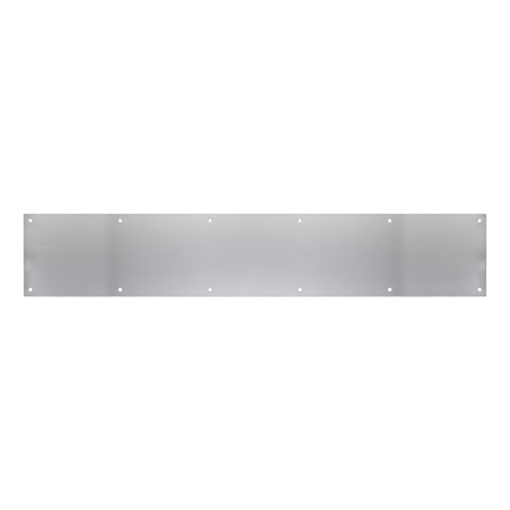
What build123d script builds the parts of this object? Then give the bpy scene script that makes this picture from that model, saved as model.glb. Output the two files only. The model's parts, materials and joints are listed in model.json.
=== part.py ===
"""A satin stainless steel kick plate: one flat sheet with two rows of countersunk screw holes."""

import os

from build123d import *

# The sheet, in millimetres.
plate_length = 838.0
plate_height = 150.0
sheet_thickness = 1.5
corner_radius = 0.8
eased_edge = 0.25

# The screw holes. The mouth takes the head of a No. 8 countersunk screw flush with the face.
edge_margin = 12.5
columns = 6
rows = 2
clearance_diameter = 6.0
mouth_diameter = 8.5
countersink_angle = 90

# The outer holes keep the same margin from both edges, and the others share the length equally.
column_pitch = (plate_length - 2 * edge_margin) / (columns - 1)
row_spacing = plate_height - 2 * edge_margin

# The plate stands upright on a door: X runs along it, Z is up, and its back lies in the XZ plane.
# The front faces -Y, and the origin is the centre of the back.
front_plane = Plane.XZ.offset(sheet_thickness)

with BuildPart() as kick_plate:
    with BuildSketch(Plane.XZ):
        RectangleRounded(plate_length, plate_height, corner_radius)
    extrude(amount=sheet_thickness)

    # The sheared edges are eased all round on the side that people touch.
    front_face = kick_plate.faces().sort_by(Axis.Y).first
    chamfer(front_face.edges(), eased_edge)

    # Each hole is drilled through and countersunk from the front, which leaves a short
    # straight land at the back.
    with Locations(front_plane):
        with GridLocations(column_pitch, row_spacing, columns, rows):
            CounterSinkHole(
                radius=clearance_diameter / 2,
                counter_sink_radius=mouth_diameter / 2,
                counter_sink_angle=countersink_angle,
            )

kick_plate.part.label = "kick_plate"

os.makedirs("parts", exist_ok=True)
export_step(kick_plate.part, "parts/kick_plate.step")
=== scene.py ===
import json
import math

import bmesh
import bpy
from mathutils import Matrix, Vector


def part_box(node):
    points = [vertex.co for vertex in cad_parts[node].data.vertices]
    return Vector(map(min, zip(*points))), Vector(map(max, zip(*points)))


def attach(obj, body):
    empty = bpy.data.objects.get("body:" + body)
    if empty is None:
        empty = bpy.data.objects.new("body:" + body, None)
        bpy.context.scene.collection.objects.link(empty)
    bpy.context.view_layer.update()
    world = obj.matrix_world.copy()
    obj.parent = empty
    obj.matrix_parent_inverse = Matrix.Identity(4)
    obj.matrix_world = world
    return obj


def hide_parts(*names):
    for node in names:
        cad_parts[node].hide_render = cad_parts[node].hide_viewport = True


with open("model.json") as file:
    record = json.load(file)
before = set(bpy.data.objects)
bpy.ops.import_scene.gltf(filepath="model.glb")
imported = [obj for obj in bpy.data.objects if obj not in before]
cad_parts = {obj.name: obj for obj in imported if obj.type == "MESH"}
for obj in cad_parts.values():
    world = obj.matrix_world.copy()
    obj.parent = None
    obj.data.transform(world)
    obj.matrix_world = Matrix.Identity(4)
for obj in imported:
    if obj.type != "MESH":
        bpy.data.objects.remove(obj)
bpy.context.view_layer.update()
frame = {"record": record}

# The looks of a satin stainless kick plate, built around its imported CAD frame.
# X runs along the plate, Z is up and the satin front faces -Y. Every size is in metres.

MM = 0.001

# ---------------------------------------------------------------------------
# Sizes. The plate's own come from the frame, the rest are the maker's choices.
# ---------------------------------------------------------------------------

plate_low, plate_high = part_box("kick_plate")
plate_length = plate_high.x - plate_low.x
plate_height = plate_high.z - plate_low.z
front_y = plate_low.y
back_y = plate_high.y
thickness = back_y - front_y

mounts = {mount["name"]: mount["dims"] for mount in frame["record"]["mounts"]}
hole_rectangles = [mounts[name + "_screw_holes"] for name in ("outer", "middle", "inner")]
hole_radius = hole_rectangles[0]["hole_r_mm"] * MM
hole_columns = sorted(
    side * rectangle["spacing_x_mm"] * MM / 2 for rectangle in hole_rectangles for side in (-1, 1)
)
hole_rows = [side * hole_rectangles[0]["spacing_y_mm"] * MM / 2 for side in (-1, 1)]

# A 90 degree countersink goes as deep as its radius shrinks.
mouth_radius = 4.25 * MM
throat_y = front_y + (mouth_radius - hole_radius)

# Each hole is modelled in a square patch of the sheet, with this many faces along each side and a
# ring of even faces round each rim. Between the patches the sheet is cut about this finely.
patch_side = 16 * MM
patch_faces = 10
rim_width = 1.2 * MM
cuts_along = 10 * MM
cuts_up = 4 * MM
cuts_beside_edges = (1.5 * MM, 3 * MM)

# The sheet's edges: rounded corners, a front edge eased by linishing, a deburred back edge and hole
# rims eased alike, and the number of faces that each is rounded with. A fold well inside the outline
# belongs to a hole.
corner_radius = 0.8 * MM
corner_faces = 4
front_ease = 0.25 * MM
front_faces = 3
back_ease = 0.1 * MM
back_faces = 2
hole_ease = 0.08 * MM
hole_faces = 2
well_inside = 2 * corner_radius

# The finish is faintly darker in a border this wide, as a belt leaves it where it rolls off an edge.
border_width = 7 * MM
border_shade = 0.94

# Painted reflections: soft darker and lighter patches painted into the finish at both ends of the sheet.
# Each has its inset from the end, its height, its reach along the plate and up it, and its shade, which
# is over 1 where the patch is a painted highlight, lighter than the rest.
painted_end_reflections = (
    (4 * MM, -2 * MM, 36 * MM, 22 * MM, 0.84),
    (5 * MM, -43 * MM, 14 * MM, 30 * MM, 0.87),
    (0 * MM, 73 * MM, 28 * MM, 9 * MM, 0.78),
    (0 * MM, 60 * MM, 38 * MM, 17 * MM, 0.87),
    (2 * MM, -75 * MM, 38 * MM, 13 * MM, 0.83),
    (0 * MM, -60 * MM, 25 * MM, 14 * MM, 0.86),
    (6 * MM, -18 * MM, 11 * MM, 17 * MM, 1.12),
)

# How close two points have to be to count as one place, the sharpest fold that is shaded smooth, and
# the least folds that count as an outer rim or a hole's rim.
weld_distance = 0.01 * MM
same_place = 0.02 * MM
smooth_angle = math.radians(35)
outer_fold = math.radians(60)
hole_fold = math.radians(30)

# A face is turned to the front or the back when its normal leans this far that way.
facing = 0.5

# The cutter bares the inner half of a mouth's easing, and nearly all of the easing of the back rim.
bared_at_mouth = 0.5 * hole_ease
bared_at_back = 0.9 * hole_ease

grain_map = "grain"

# The blade cuts cleanly as far in as the first of these shares of the thickness, and from the second
# one on the metal tears.
clean_share = 0.3
torn_share = 0.45

# Most of a noise lies between these two limits.
noise_low = 0.3
noise_high = 0.7

# A wave texture repeats each 2 pi / 20 units at scale 1, so this over a spacing gives that spacing.
wave_scale = math.pi / 10

# A mix node's colour sockets by number, because their names are those of its plain number sockets.
mix_share = 0
first_colour = 6
second_colour = 7
mixed_colour = 2

# ---------------------------------------------------------------------------
# The studio's sizes and light levels
# ---------------------------------------------------------------------------

# The lens is almost level with the plate's middle, and takes in a little more than the plate's length.
camera_distance = 5.0
camera_height = 0.2 * MM
picture_width = 1.1015 * plate_length

floor_size = 24.0
floor_gap = 0.1 * MM
floor_glow = 0.2
surround_below = "#E0E0E2"
surround_above = "#FFFFFF"
surround_front = 0.272
surround_front_reach = 0.7

# The reflection cards hang this far in front of the plate, above and below the line to the lens.
# Each has its colour, its bottom and top, then its light level at distances from the middle. A
# card's middle panel meets its end panels at the joint. The inner cards fade fastest from the knee to
# the joint, and again from there to the lip. Beyond the panels' end, wing panels go on for the steel
# to reflect when it is seen from the side, past a dark gap on all but the topmost card.
card_distance = 0.3
card_gain = 1.06
knee = 0.255
joint = 0.284
lip = 0.32
panel_end = 0.452
panel_gap = 0.001
wing_shadow = 0.475
wing_start = 0.49
wing_end = 1.2
wings = ((panel_end + panel_gap, 0.25), (wing_shadow, 0.25), (wing_start, 1.0), (wing_end, 0.9))
cards = {
    "upper_outer_card": (
        "#FFFFF0",
        (0.15, 0.35),
        ((0, 1.5), (joint, 1.5), (joint + panel_gap, 1.4), (panel_end, 1.9), (0.7, 1.1), (wing_end, 1.0)),
    ),
    "upper_inner_card": (
        "#FFFFFF",
        (0.05, 0.15),
        (
            (0, 1.25),
            (0.1, 1.4),
            (0.18, 1.3),
            (knee, 1.0),
            (joint, 0.7),
            (joint + panel_gap, 1.22),
            (lip, 1.03),
            (panel_end, 1.0),
        )
        + wings,
    ),
    "lower_inner_card": (
        "#FFFFFF",
        (-0.2, -0.06),
        (
            (0, 1.4),
            (0.1, 1.3),
            (0.18, 0.97),
            (knee, 0.7),
            (joint, 0.3),
            (joint + panel_gap, 0.95),
            (lip, 0.78),
            (0.4, 0.85),
            (panel_end, 1.4),
        )
        + wings,
    ),
    "lower_outer_card": (
        "#F6F8FF",
        (-0.5, -0.2),
        ((0, 1.8), (joint, 1.8), (joint + panel_gap, 0.95), (0.4, 0.95), (panel_end, 1.4)) + wings,
    ),
}


# ---------------------------------------------------------------------------
# Small helpers for modelling by hand
# ---------------------------------------------------------------------------


def add_primitive(operator, name, **settings):
    """Adds one primitive with nothing else selected, and returns its object."""
    bpy.ops.object.select_all(action="DESELECT")
    operator(**settings)
    piece = bpy.context.object
    piece.name = name
    piece.data.name = name
    return piece


def place_in_mesh(piece):
    """Moves a piece's place, turn and size into its mesh, so that its object sits at the origin."""
    bpy.ops.object.transform_apply(location=True, rotation=True, scale=True)
    return piece


def choose(piece, kind, test):
    """Selects the vertices, edges or faces that pass a test, in edit mode, and counts them."""
    bpy.ops.mesh.select_mode(type=kind)
    bpy.ops.mesh.select_all(action="DESELECT")
    mesh = bmesh.from_edit_mesh(piece.data)
    elements = {"VERT": mesh.verts, "EDGE": mesh.edges, "FACE": mesh.faces}[kind]
    chosen = 0
    for element in elements:
        if not element.hide and test(element):
            element.select_set(True)
            chosen += 1
    mesh.select_flush_mode()
    bmesh.update_edit_mesh(piece.data)
    return chosen


def middle_of(edge):
    """The point halfway along an edge."""
    return (edge.verts[0].co + edge.verts[1].co) / 2


def cut_across(axis, places):
    """Cuts the whole mesh with planes square to X or Z at the given places."""
    normal = Vector((1, 0, 0)) if axis == "X" else Vector((0, 0, 1))
    for place in places:
        bpy.ops.mesh.select_all(action="SELECT")
        bpy.ops.mesh.bisect(plane_co=normal * place, plane_no=normal)


# ---------------------------------------------------------------------------
# The plate
# ---------------------------------------------------------------------------


def patch_lines(centre):
    """The places of the cuts across one hole's patch, both of its sides included."""
    step = patch_side / patch_faces
    return [centre - patch_side / 2 + step * n for n in range(patch_faces + 1)]


def cut_places(half_extent, hole_places, spacing):
    """Where the sheet is cut one way: the hole patches, the strips beside the edges and the spans between."""
    places = []
    for centre in hole_places:
        places += patch_lines(centre)
    for inset in cuts_beside_edges:
        places += [inset - half_extent, half_extent - inset]
    patches = sorted(hole_places)
    for left, right in zip(patches, patches[1:]):
        start = left + patch_side / 2
        span = right - left - patch_side
        count = round(span / spacing)
        places += [start + span * n / count for n in range(1, count)]
    return sorted(places)


def make_sheet():
    """A flat sheet with a square window for each hole, its grid matching the patches."""
    sheet = add_primitive(
        bpy.ops.mesh.primitive_plane_add,
        "kick_plate_sheet",
        size=1,
        location=(0, front_y, 0),
        rotation=(math.radians(90), 0, 0),
    )
    sheet.scale = (plate_length, plate_height, 1)
    place_in_mesh(sheet)
    bpy.ops.object.mode_set(mode="EDIT")
    cut_across("X", cut_places(plate_length / 2, hole_columns, cuts_along))
    cut_across("Z", cut_places(plate_height / 2, hole_rows, cuts_up))
    bpy.ops.mesh.select_all(action="SELECT")
    bpy.ops.mesh.extrude_region_move(TRANSFORM_OT_translate={"value": (0, thickness, 0)})

    def in_a_patch(face):
        centre = face.calc_center_median()
        return any(
            abs(centre.x - x) < patch_side / 2 and abs(centre.z - z) < patch_side / 2
            for x in hole_columns
            for z in hole_rows
        )

    choose(sheet, "FACE", in_a_patch)
    bpy.ops.mesh.delete(type="FACE")
    bpy.ops.object.mode_set(mode="OBJECT")
    return sheet


def pull_ring(patch, centre, radius, y):
    """Extrudes the chosen loop of edges into a round ring of a given radius and depth, on a hole's axis."""
    axis_point = Vector((centre[0], y, centre[1]))
    bpy.ops.mesh.extrude_edges_move()
    bpy.ops.transform.tosphere(value=1)
    mesh = bmesh.from_edit_mesh(patch.data)
    ring = [vertex.co for vertex in mesh.verts if vertex.select]
    start_y = ring[0].y
    start_radius = math.hypot(ring[0].x - centre[0], ring[0].z - centre[1])
    bpy.ops.transform.translate(value=(0, y - start_y, 0))
    scale = radius / start_radius
    bpy.ops.transform.resize(value=(scale, 1, scale), center_override=axis_point)


def make_hole_patch(centre):
    """One square of sheet with a countersunk hole through it, pulled in ring by ring from each face."""
    patch = add_primitive(
        bpy.ops.mesh.primitive_plane_add,
        "hole_patch",
        size=patch_side,
        location=(centre[0], front_y, centre[1]),
        rotation=(math.radians(90), 0, 0),
    )
    place_in_mesh(patch)
    bpy.ops.object.mode_set(mode="EDIT")

    # The square outline, once at the front and once at the back.
    bpy.ops.mesh.delete(type="ONLY_FACE")
    bpy.ops.mesh.select_mode(type="EDGE")
    bpy.ops.mesh.select_all(action="SELECT")
    bpy.ops.mesh.subdivide(number_cuts=patch_faces - 1)
    bpy.ops.mesh.duplicate_move(TRANSFORM_OT_translate={"value": (0, thickness, 0)})

    # A wider ring beside each rim keeps the faces there even.
    front_rings = [
        (mouth_radius + rim_width, front_y),
        (mouth_radius, front_y),
        (hole_radius, throat_y),
        (hole_radius, back_y),
    ]
    back_rings = [(hole_radius + rim_width, back_y), (hole_radius, back_y)]
    for face_y, rings in ((front_y, front_rings), (back_y, back_rings)):
        choose(
            patch,
            "EDGE",
            lambda edge: abs(middle_of(edge).y - face_y) < same_place and not edge.link_faces,
        )
        for radius, y in rings:
            pull_ring(patch, centre, radius, y)
    bpy.ops.mesh.select_all(action="SELECT")
    bpy.ops.mesh.remove_doubles(threshold=weld_distance)
    bpy.ops.object.mode_set(mode="OBJECT")
    return patch


def make_plate():
    """The whole plate: the sheet and a patch for each hole, welded, with its edges eased."""
    sheet = make_sheet()
    first = (hole_columns[0], hole_rows[0])
    patch = make_hole_patch(first)
    patches = [patch]
    for x in hole_columns:
        for z in hole_rows:
            if (x, z) == first:
                continue
            copy = patch.copy()
            copy.data = patch.data.copy()
            bpy.context.collection.objects.link(copy)
            copy.location = (x - first[0], 0, z - first[1])
            patches.append(copy)
    bpy.ops.object.select_all(action="DESELECT")
    for piece in patches:
        piece.select_set(True)
    sheet.select_set(True)
    bpy.context.view_layer.objects.active = sheet
    bpy.ops.object.join()
    sheet.name = "satin_kick_plate"
    sheet.data.name = "satin_kick_plate"

    bpy.ops.object.mode_set(mode="EDIT")
    bpy.ops.mesh.select_all(action="SELECT")
    bpy.ops.mesh.remove_doubles(threshold=weld_distance)
    bpy.ops.mesh.select_all(action="SELECT")
    bpy.ops.mesh.normals_make_consistent(inside=False)
    ease_edges(sheet)
    lay_grain(sheet)
    bpy.ops.object.mode_set(mode="OBJECT")
    smooth(sheet)
    return sheet


def ease_edges(plate):
    """Rounds the corners, then eases the front edge, the back edge and both rims of every hole."""

    def at_corner(edge):
        middle = middle_of(edge)
        along_y = abs(edge.verts[0].co.y - edge.verts[1].co.y) > thickness / 2
        at_end = abs(abs(middle.x) - plate_length / 2) < same_place
        at_side = abs(abs(middle.z) - plate_height / 2) < same_place
        return along_y and at_end and at_side

    choose(plate, "EDGE", at_corner)
    bpy.ops.mesh.bevel(offset=corner_radius, segments=corner_faces, affect="EDGES")

    def outer_rim(y):
        def test(edge):
            if abs(middle_of(edge).y - y) > same_place or len(edge.link_faces) != 2:
                return False
            outside = any(
                plate_length / 2 - abs(v.co.x) < corner_radius
                or plate_height / 2 - abs(v.co.z) < corner_radius
                for v in edge.verts
            )
            return outside and edge.calc_face_angle() > outer_fold

        return test

    choose(plate, "EDGE", outer_rim(front_y))
    bpy.ops.mesh.bevel(offset=front_ease, segments=front_faces, affect="EDGES")
    choose(plate, "EDGE", outer_rim(back_y))
    bpy.ops.mesh.bevel(offset=back_ease, segments=back_faces, affect="EDGES")

    def hole_rim(y):
        def test(edge):
            if abs(middle_of(edge).y - y) > same_place or len(edge.link_faces) != 2:
                return False
            inside = plate_height / 2 - abs(middle_of(edge).z) > well_inside
            inside = inside and plate_length / 2 - abs(middle_of(edge).x) > well_inside
            return inside and edge.calc_face_angle() > hole_fold

        return test

    for y in (front_y, back_y):
        choose(plate, "EDGE", hole_rim(y))
        bpy.ops.mesh.bevel(offset=hole_ease, segments=hole_faces, affect="EDGES")


def lay_grain(plate):
    """Gives the plate a UV map whose U runs along its length, the way the belt went."""
    plate.data.uv_layers.new(name=grain_map)
    bpy.ops.mesh.select_all(action="SELECT")
    bpy.ops.uv.cube_project(cube_size=1.0)


def smooth(plate):
    """Smooths the eased edges and the hole walls, and keeps the flat faces flat."""
    bpy.ops.object.select_all(action="DESELECT")
    plate.select_set(True)
    bpy.context.view_layer.objects.active = plate
    bpy.ops.object.shade_smooth_by_angle(angle=smooth_angle)
    modifier = plate.modifiers.new("flat_faces_lead", "WEIGHTED_NORMAL")
    modifier.mode = "FACE_AREA"
    modifier.keep_sharp = True
    bpy.ops.object.modifier_apply(modifier=modifier.name)


# ---------------------------------------------------------------------------
# Materials. The whole plate is one sheet of austenitic stainless steel (1.4301), finished four ways.
# ---------------------------------------------------------------------------


def linear(hex_colour):
    """The linear colour, with full alpha, of an sRGB hex colour."""
    channels = [int(hex_colour[n : n + 2], 16) / 255 for n in (1, 3, 5)]
    return [c / 12.92 if c <= 0.04045 else ((c + 0.055) / 1.055) ** 2.4 for c in channels] + [1]


def add_node(tree, kind, settings=None, values=None, links=None):
    """Adds one node with its settings, the plain values of its inputs and the links into them."""
    node = tree.nodes.new(kind)
    for name, value in (settings or {}).items():
        setattr(node, name, value)
    for socket, value in (values or {}).items():
        node.inputs[socket].default_value = value
    for socket, source in (links or {}).items():
        tree.links.new(source, node.inputs[socket])
    return node


def new_material(name):
    """An empty material and its node tree."""
    material = bpy.data.materials.new(name)
    material.use_nodes = True
    material.node_tree.nodes.clear()
    return material, material.node_tree


def streaks(tree, long, wide, detail=2):
    """Noise drawn out along the plate's length, in marks about so long and so wide.

    The distortion keeps the marks' ends from lining up across the plate, and the range brings the
    noise out to the whole of 0 to 1.
    """
    place = add_node(tree, "ShaderNodeTexCoord")
    stretched = add_node(
        tree,
        "ShaderNodeMapping",
        values={"Scale": (1 / long, 1 / wide, 1 / wide)},
        links={"Vector": place.outputs["Object"]},
    )
    noise = add_node(
        tree,
        "ShaderNodeTexNoise",
        values={"Scale": 1, "Detail": detail, "Roughness": 0.6, "Distortion": 0.6},
        links={"Vector": stretched.outputs["Vector"]},
    )
    full = add_node(
        tree,
        "ShaderNodeMapRange",
        values={"From Min": noise_low, "From Max": noise_high},
        links={"Value": noise.outputs["Fac"]},
    )
    return full.outputs["Result"]


def border_shading(tree, from_middle, half_extent):
    """Full light over most of the plate, falling to the border's shade along two of its edges."""
    border = add_node(
        tree,
        "ShaderNodeMapRange",
        settings={"interpolation_type": "SMOOTHSTEP"},
        values={
            "From Min": half_extent - border_width,
            "From Max": half_extent,
            "To Min": 1,
            "To Max": border_shade,
        },
        links={"Value": from_middle},
    )
    return border.outputs["Result"]


def painted_reflection_patch(tree, folded, inset, height, along, up, shade):
    """A painted reflection at both ends: its shade in the middle and full light from its rim out."""
    centred = add_node(
        tree,
        "ShaderNodeVectorMath",
        settings={"operation": "SUBTRACT"},
        values={1: (plate_length / 2 - inset, 0, height)},
        links={0: folded},
    )
    in_reaches = add_node(
        tree,
        "ShaderNodeVectorMath",
        settings={"operation": "DIVIDE"},
        values={1: (along, 1, up)},
        links={0: centred.outputs["Vector"]},
    )
    distance = add_node(
        tree, "ShaderNodeVectorMath", {"operation": "LENGTH"}, links={0: in_reaches.outputs["Vector"]}
    )
    patch = add_node(
        tree,
        "ShaderNodeMapRange",
        settings={"interpolation_type": "SMOOTHSTEP"},
        values={"To Min": shade, "To Max": 1},
        links={"Value": distance.outputs["Value"]},
    )
    return patch.outputs["Result"]


def border_and_painted_reflections(tree):
    """How much light the finish keeps, with the darker border and the painted reflections at the ends."""
    place = add_node(tree, "ShaderNodeTexCoord")
    axes = add_node(tree, "ShaderNodeSeparateXYZ", links={"Vector": place.outputs["Object"]})
    unsigned = add_node(
        tree, "ShaderNodeVectorMath", {"operation": "ABSOLUTE"}, links={0: place.outputs["Object"]}
    )
    from_middle = add_node(tree, "ShaderNodeSeparateXYZ", links={"Vector": unsigned.outputs["Vector"]})
    shading = add_node(
        tree,
        "ShaderNodeMath",
        settings={"operation": "MINIMUM"},
        links={
            0: border_shading(tree, from_middle.outputs["X"], plate_length / 2),
            1: border_shading(tree, from_middle.outputs["Z"], plate_height / 2),
        },
    )
    # With its left half folded over its right one, the plate takes each painted reflection at both ends.
    folded = add_node(
        tree, "ShaderNodeCombineXYZ", links={"X": from_middle.outputs["X"], "Z": axes.outputs["Z"]}
    )
    for patch in painted_end_reflections:
        shading = add_node(
            tree,
            "ShaderNodeMath",
            settings={"operation": "MULTIPLY"},
            links={
                0: shading.outputs["Value"],
                1: painted_reflection_patch(tree, folded.outputs["Vector"], *patch),
            },
        )
    return shading.outputs["Value"]


def steel_shader(tree, colour, pattern, smoothest, roughest, normal, **constants):
    """The metal shader that every finish ends in, its roughness led by a pattern."""
    roughness = add_node(
        tree,
        "ShaderNodeMapRange",
        values={"To Min": smoothest, "To Max": roughest},
        links={"Value": pattern},
    )
    shader = add_node(
        tree,
        "ShaderNodeBsdfPrincipled",
        values={"Metallic": 1.0, **constants},
        links={"Base Color": colour, "Roughness": roughness.outputs["Result"], "Normal": normal},
    )
    add_node(tree, "ShaderNodeOutputMaterial", links={"Surface": shader.outputs["BSDF"]})
    return shader


def satin_brushed_stainless():
    """Stainless sheet linished along its length with a 180 grit belt (a No. 4 satin finish).

    The eye gets a soft grey sheen that is sharp along the plate and smeared across it, over fine level
    hairlines and a faint cloudiness. Dark and light patches at both ends are painted reflections.
    """
    material, tree = new_material("satin_brushed_stainless")
    # The grit leaves scratches 0.08 mm apart. They are drawn 0.3 mm and 2.5 mm wide so that they show.
    hairlines = streaks(tree, 35 * MM, 0.3 * MM)
    bands = streaks(tree, 260 * MM, 2.5 * MM)
    cloud = streaks(tree, 90 * MM, 45 * MM)
    grain = add_node(
        tree,
        "ShaderNodeMix",
        settings={"data_type": "FLOAT"},
        values={"Factor": 0.2},
        links={"A": hairlines, "B": bands},
    )
    tone = add_node(
        tree,
        "ShaderNodeMix",
        settings={"data_type": "FLOAT"},
        values={"Factor": 0.15},
        links={"A": grain.outputs["Result"], "B": cloud},
    )
    scratched = add_node(
        tree,
        "ShaderNodeBump",
        values={"Strength": 0.4, "Distance": 0.01 * MM},
        links={"Height": hairlines},
    )
    grey = add_node(
        tree,
        "ShaderNodeMix",
        settings={"data_type": "RGBA"},
        values={first_colour: linear("#C7C7CC"), second_colour: linear("#D1D1D6")},
        links={mix_share: tone.outputs["Result"]},
    )
    # The grey is darkened at the border and carries the painted reflections at both ends.
    shaded = add_node(
        tree,
        "ShaderNodeMix",
        settings={"data_type": "RGBA", "blend_type": "MULTIPLY"},
        values={mix_share: 1},
        links={first_colour: grey.outputs[mixed_colour], second_colour: border_and_painted_reflections(tree)},
    )
    along = add_node(tree, "ShaderNodeTangent", {"direction_type": "UV_MAP", "uv_map": grain_map})
    steel = steel_shader(
        tree,
        colour=shaded.outputs[mixed_colour],
        pattern=grain.outputs["Result"],
        smoothest=0.235,
        roughest=0.265,
        normal=scratched.outputs["Normal"],
        **{"Anisotropic": 1.0, "Anisotropic Rotation": 0.25},
    )
    tree.links.new(along.outputs["Tangent"], steel.inputs["Tangent"])
    return material


def mill_finish_stainless():
    """The hidden face as the mill rolled it (2B): pickled and skin-passed, never brushed.

    The eye gets a milky, even grey with long faint roller lines and soft cloudy patches.
    """
    material, tree = new_material("mill_finish_stainless")
    # Roller lines are hundredths of a millimetre wide. They are drawn 1.5 mm wide so that they show.
    roller_lines = streaks(tree, 600 * MM, 1.5 * MM)
    cloud = streaks(tree, 70 * MM, 50 * MM, detail=4)
    tone = add_node(
        tree,
        "ShaderNodeMix",
        settings={"data_type": "FLOAT"},
        values={"Factor": 0.6},
        links={"A": roller_lines, "B": cloud},
    )
    rolled = add_node(
        tree,
        "ShaderNodeBump",
        values={"Strength": 0.1, "Distance": 0.01 * MM},
        links={"Height": roller_lines},
    )
    grey = add_node(
        tree,
        "ShaderNodeMix",
        settings={"data_type": "RGBA"},
        values={first_colour: linear("#B8B9BC"), second_colour: linear("#C4C5C8")},
        links={mix_share: tone.outputs["Result"]},
    )
    steel_shader(
        tree,
        colour=grey.outputs[mixed_colour],
        pattern=tone.outputs["Result"],
        smoothest=0.32,
        roughest=0.4,
        normal=rolled.outputs["Normal"],
    )
    return material


def sheared_edge_stainless():
    """The cut edge of the sheet, sheared and then deburred.

    The eye gets fine cut marks straight across the thickness, over a brighter cut band and a duller torn one.
    """
    material, tree = new_material("sheared_edge_stainless")
    place = add_node(tree, "ShaderNodeTexCoord")
    across = add_node(tree, "ShaderNodeSeparateXYZ", links={"Vector": place.outputs["Object"]})
    torn = add_node(
        tree,
        "ShaderNodeMapRange",
        settings={"interpolation_type": "SMOOTHSTEP"},
        values={
            "From Min": front_y + clean_share * thickness,
            "From Max": front_y + torn_share * thickness,
        },
        links={"Value": across.outputs["Y"]},
    )
    # Cut marks are about 0.05 mm apart. They are drawn 0.4 mm apart so that they show, and ten times
    # as long across the edge.
    drawn_out = add_node(
        tree,
        "ShaderNodeMapping",
        values={"Scale": (1, 0.1, 1)},
        links={"Vector": place.outputs["Object"]},
    )
    marks = add_node(
        tree,
        "ShaderNodeTexNoise",
        values={"Scale": 1 / (0.4 * MM), "Detail": 2},
        links={"Vector": drawn_out.outputs["Vector"]},
    )
    tone = add_node(
        tree,
        "ShaderNodeMix",
        settings={"data_type": "FLOAT"},
        values={"Factor": 0.5},
        links={"A": marks.outputs["Fac"], "B": torn.outputs["Result"]},
    )
    cut = add_node(
        tree,
        "ShaderNodeBump",
        values={"Strength": 0.2, "Distance": 0.02 * MM},
        links={"Height": marks.outputs["Fac"]},
    )
    grey = add_node(
        tree,
        "ShaderNodeMix",
        settings={"data_type": "RGBA"},
        values={first_colour: linear("#C4C5C9"), second_colour: linear("#A2A3A7")},
        links={mix_share: tone.outputs["Result"]},
    )
    steel_shader(
        tree,
        colour=grey.outputs[mixed_colour],
        pattern=tone.outputs["Result"],
        smoothest=0.25,
        roughest=0.55,
        normal=cut.outputs["Normal"],
    )
    return material


def countersunk_stainless():
    """The screw holes' walls, bored and then countersunk with a rotary cutter.

    The eye gets a clean, bright cone with fine rings round each hole.
    """
    material, tree = new_material("countersunk_stainless")
    place = add_node(tree, "ShaderNodeTexCoord")
    axes = add_node(tree, "ShaderNodeSeparateXYZ", links={"Vector": place.outputs["Object"]})

    def from_nearest_axis(output, one_axis, pitch):
        """How far a point is, one way, from the nearest hole's axis."""
        shifted = add_node(tree, "ShaderNodeMath", {"operation": "ADD"}, {1: one_axis}, {0: output})
        wrapped = add_node(
            tree,
            "ShaderNodeMath",
            settings={"operation": "WRAP"},
            values={1: pitch / 2, 2: -pitch / 2},
            links={0: shifted.outputs["Value"]},
        )
        return wrapped.outputs["Value"]

    column_pitch = hole_columns[1] - hole_columns[0]
    row_pitch = hole_rows[1] - hole_rows[0]
    from_axis = add_node(
        tree,
        "ShaderNodeCombineXYZ",
        links={
            "X": from_nearest_axis(axes.outputs["X"], column_pitch / 2, column_pitch),
            "Y": axes.outputs["Y"],
            "Z": from_nearest_axis(axes.outputs["Z"], row_pitch / 2, row_pitch),
        },
    )
    # The cutter's marks are about 0.05 mm apart. The rings are drawn 0.25 mm apart so that they show.
    rings = add_node(
        tree,
        "ShaderNodeTexWave",
        settings={"wave_type": "RINGS", "rings_direction": "Y"},
        values={"Scale": wave_scale / (0.25 * MM), "Distortion": 0.6, "Detail": 2},
        links={"Vector": from_axis.outputs["Vector"]},
    )
    turned = add_node(
        tree,
        "ShaderNodeBump",
        values={"Strength": 0.25, "Distance": 0.01 * MM},
        links={"Height": rings.outputs["Fac"]},
    )
    grey = add_node(
        tree,
        "ShaderNodeMix",
        settings={"data_type": "RGBA"},
        values={first_colour: linear("#C9CACD"), second_colour: linear("#D7D8DB")},
        links={mix_share: rings.outputs["Fac"]},
    )
    steel_shader(
        tree,
        colour=grey.outputs[mixed_colour],
        pattern=rings.outputs["Fac"],
        smoothest=0.2,
        roughest=0.3,
        normal=turned.outputs["Normal"],
    )
    return material


def finish_plate(plate):
    """Gives each of the plate's surfaces its own finish."""

    def from_hole(point):
        return min(math.hypot(point.x - x, point.z - z) for x in hole_columns for z in hole_rows)

    def is_back(face):
        return face.calc_center_median().y > back_y - back_ease and face.normal.y > facing

    def is_edge(face):
        middle = face.calc_center_median()
        outside = plate_length / 2 - abs(middle.x) < corner_radius
        outside = outside or plate_height / 2 - abs(middle.z) < corner_radius
        return outside and middle.y > front_y + front_ease and abs(face.normal.y) < facing

    def is_hole(face):
        middle = face.calc_center_median()
        in_mouth = from_hole(middle) < mouth_radius + bared_at_mouth
        in_back_rim = from_hole(middle) < hole_radius + bared_at_back
        return in_back_rim or (in_mouth and middle.y < back_y - back_ease)

    finishes = (
        (satin_brushed_stainless, lambda face: True),
        (mill_finish_stainless, is_back),
        (sheared_edge_stainless, is_edge),
        (countersunk_stainless, is_hole),
    )
    bpy.context.view_layer.objects.active = plate
    bpy.ops.object.mode_set(mode="EDIT")
    for number, (make_finish, test) in enumerate(finishes):
        plate.data.materials.append(make_finish())
        plate.active_material_index = number
        choose(plate, "FACE", test)
        bpy.ops.object.material_slot_assign()
    bpy.ops.object.mode_set(mode="OBJECT")


# ---------------------------------------------------------------------------
# The studio: a white floor, a soft white surround and the cards that the steel reflects
# ---------------------------------------------------------------------------


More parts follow.
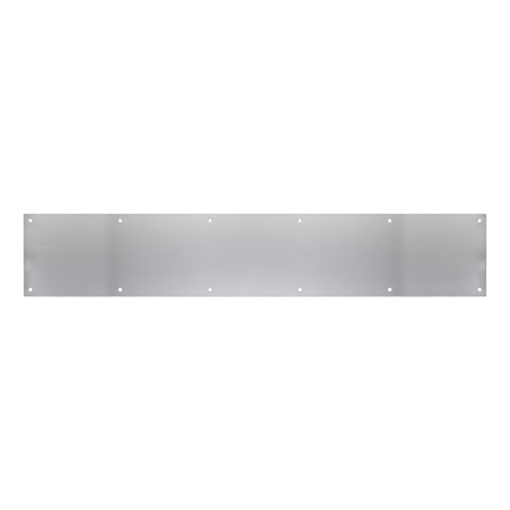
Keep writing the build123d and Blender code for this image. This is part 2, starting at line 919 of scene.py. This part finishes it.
def make_floor():
    """A pale, matt floor under the plate's bottom edge, lit evenly enough to run into the surround."""
    floor = add_primitive(
        bpy.ops.mesh.primitive_plane_add, "floor", size=floor_size, location=(0, 0, plate_low.z - floor_gap)
    )
    place_in_mesh(floor)
    material, tree = new_material("pale_matt_floor")
    place = add_node(tree, "ShaderNodeTexCoord")
    mottle = add_node(
        tree,
        "ShaderNodeTexNoise",
        values={"Scale": 1 / (30 * MM), "Detail": 3},
        links={"Vector": place.outputs["Object"]},
    )
    pale = add_node(
        tree,
        "ShaderNodeMix",
        settings={"data_type": "RGBA"},
        values={first_colour: linear("#F0F0F0"), second_colour: linear("#F6F6F6")},
        links={mix_share: mottle.outputs["Fac"]},
    )
    shader = add_node(
        tree,
        "ShaderNodeBsdfPrincipled",
        values={
            "Roughness": 0.9,
            "Specular IOR Level": 0.2,
            "Emission Color": linear("#FFFFFF"),
            "Emission Strength": floor_glow,
        },
        links={"Base Color": pale.outputs[mixed_colour]},
    )
    add_node(tree, "ShaderNodeOutputMaterial", links={"Surface": shader.outputs["BSDF"]})
    floor.data.materials.append(material)
    floor.visible_glossy = False
    return floor


def make_surround():
    """White all round, but where the steel reflects it a soft grey, brighter above and dim in front."""
    world = bpy.data.worlds.new("soft_surround")
    bpy.context.scene.world = world
    world.use_nodes = True
    world.cycles.sampling_method = "NONE"
    tree = world.node_tree
    tree.nodes.clear()
    ray = add_node(tree, "ShaderNodeLightPath")
    place = add_node(tree, "ShaderNodeTexCoord")
    direction = add_node(tree, "ShaderNodeSeparateXYZ", links={"Vector": place.outputs["Generated"]})
    above = add_node(
        tree,
        "ShaderNodeMapRange",
        values={"From Min": -1, "From Max": 1},
        links={"Value": direction.outputs["Z"]},
    )
    in_front = add_node(
        tree,
        "ShaderNodeMapRange",
        settings={"interpolation_type": "SMOOTHSTEP"},
        values={"From Min": -surround_front_reach, "From Max": 0, "To Min": surround_front},
        links={"Value": direction.outputs["Y"]},
    )
    grey = add_node(
        tree,
        "ShaderNodeMix",
        settings={"data_type": "RGBA"},
        values={first_colour: linear(surround_below), second_colour: linear(surround_above)},
        links={mix_share: above.outputs["Result"]},
    )
    reflected = add_node(
        tree,
        "ShaderNodeMix",
        settings={"data_type": "RGBA", "blend_type": "MULTIPLY"},
        values={mix_share: 1},
        links={first_colour: grey.outputs[mixed_colour], second_colour: in_front.outputs["Result"]},
    )
    colour = add_node(
        tree,
        "ShaderNodeMix",
        settings={"data_type": "RGBA"},
        values={first_colour: linear("#FFFFFF")},
        links={
            mix_share: ray.outputs["Is Glossy Ray"],
            second_colour: reflected.outputs[mixed_colour],
        },
    )
    light = add_node(tree, "ShaderNodeBackground", links={"Color": colour.outputs[mixed_colour]})
    add_node(tree, "ShaderNodeOutputWorld", links={"Surface": light.outputs["Background"]})


def make_card(name, colour, bottom, top, levels):
    """A glowing card in front of the plate that only the steel sees, graded out from its middle.

    Each level is a distance from the middle and the light there, and the light runs evenly between them.
    """
    half_width = levels[-1][0]
    card = add_primitive(
        bpy.ops.mesh.primitive_plane_add,
        name,
        size=1,
        location=(0, front_y - card_distance, (bottom + top) / 2),
        rotation=(math.radians(-90), 0, 0),
    )
    card.scale = (2 * half_width, top - bottom, 1)
    place_in_mesh(card)

    material, tree = new_material(name)
    place = add_node(tree, "ShaderNodeTexCoord")
    along = add_node(tree, "ShaderNodeSeparateXYZ", links={"Vector": place.outputs["Object"]})
    from_middle = add_node(
        tree, "ShaderNodeMath", {"operation": "ABSOLUTE"}, links={0: along.outputs["X"]}
    )
    reach = add_node(
        tree,
        "ShaderNodeMapRange",
        values={"From Max": half_width},
        links={"Value": from_middle.outputs["Value"]},
    )
    grade = add_node(tree, "ShaderNodeValToRGB", links={"Fac": reach.outputs["Result"]})
    peak = card_gain * max(level for distance, level in levels)
    stops = grade.color_ramp.elements
    stops.remove(stops[-1])
    for distance, level in levels[1:]:
        stops.new(distance / half_width)
    for stop, (distance, level) in zip(stops, levels):
        share = card_gain * level / peak
        stop.color = [share * channel for channel in linear(colour)[:3]] + [1]
    light = add_node(
        tree, "ShaderNodeEmission", values={"Strength": peak}, links={"Color": grade.outputs["Color"]}
    )
    add_node(tree, "ShaderNodeOutputMaterial", links={"Surface": light.outputs["Emission"]})
    card.data.materials.append(material)
    card.visible_camera = False
    card.visible_diffuse = False
    card.visible_shadow = False
    card.visible_transmission = False
    return card


def make_camera():
    """A long lens square on to the plate, far enough back to keep its edges straight."""
    camera_data = bpy.data.cameras.new("camera")
    camera = bpy.data.objects.new("camera", camera_data)
    bpy.context.scene.collection.objects.link(camera)
    camera_data.lens = camera_data.sensor_width * camera_distance / picture_width
    camera.location = (0, front_y - camera_distance, camera_height)
    camera.rotation_euler = (math.radians(90), 0, 0)
    bpy.context.scene.camera = camera


plate = make_plate()
finish_plate(plate)
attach(plate, "root")
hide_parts("kick_plate")

make_floor()
make_surround()
for name, (colour, (bottom, top), levels) in cards.items():
    make_card(name, colour, bottom, top, levels)
make_camera()
bpy.context.scene.view_settings.view_transform = "Standard"
